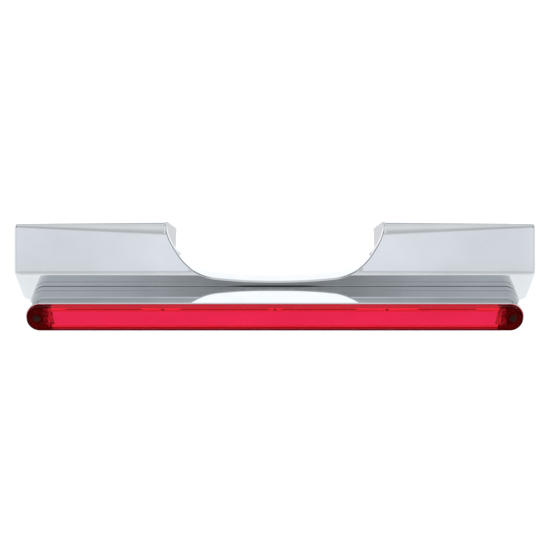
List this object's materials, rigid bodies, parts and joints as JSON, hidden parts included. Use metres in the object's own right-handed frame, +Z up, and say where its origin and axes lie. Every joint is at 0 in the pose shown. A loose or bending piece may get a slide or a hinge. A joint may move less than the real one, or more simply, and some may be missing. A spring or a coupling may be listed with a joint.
{
  "type": "third brake light",
  "caption": "Chrome third brake light: wing panel with a U cut-out, slot-shaped housing and a long red LED light bar, on two hidden mounting brackets.",
  "frame": {"origin": "centre of the four mounting bolts, on the back faces of the two brackets", "axes": "+X along the light bar, -Y the way the light shines, +Z up"},
  "size_m": [0.4726, 0.1145, 0.0818],
  "materials": {
    "chrome_panel": "mirror polished plating",
    "chrome_housing": "mirror polished plating",
    "black_foam": "closed-cell foam",
    "zinc_steel": "zinc plated",
    "zinc_bracket": "zinc plated, satin",
    "dark_steel": "stainless, seen through red",
    "red_lens": "clear red, polished",
    "lit_guide": "lit, even glow",
    "white_plastic": "satin",
    "board_green": "solder mask",
    "led_yellow": "diode packages",
    "component_black": "moulded",
    "black_plastic": "fine grain",
    "potting_black": "cast resin",
    "brass": "turned",
    "red_rubber": "silicone",
    "red_wire": "PVC insulation",
    "black_wire": "PVC insulation",
    "white_wire": "PVC insulation"
  },
  "bodies": {
    "root": {"wing_panel": "chrome_panel", "lamp_housing": "chrome_housing", "housing_gasket": "black_foam", "housing_screws": "zinc_steel", "lens": "red_lens", "light_base": "black_plastic", "light_guide": "lit_guide", "reflector": "white_plastic", "led_board": "board_green", "leds": "led_yellow", "board_parts": "component_black", "potting": "potting_black", "bar_seal": "black_foam", "lens_screws": "dark_steel", "screw_inserts": "brass", "wire_socket": "black_plastic", "socket_pins": "brass", "socket_seal": "red_rubber", "lead_stop": "red_wire", "lead_tail": "black_wire", "lead_ground": "white_wire", "left_bracket": "zinc_bracket", "right_bracket": "zinc_bracket", "weld_studs": "zinc_steel", "stud_washers": "zinc_steel", "stud_nuts": "zinc_steel"}
  },
  "joints": []
}
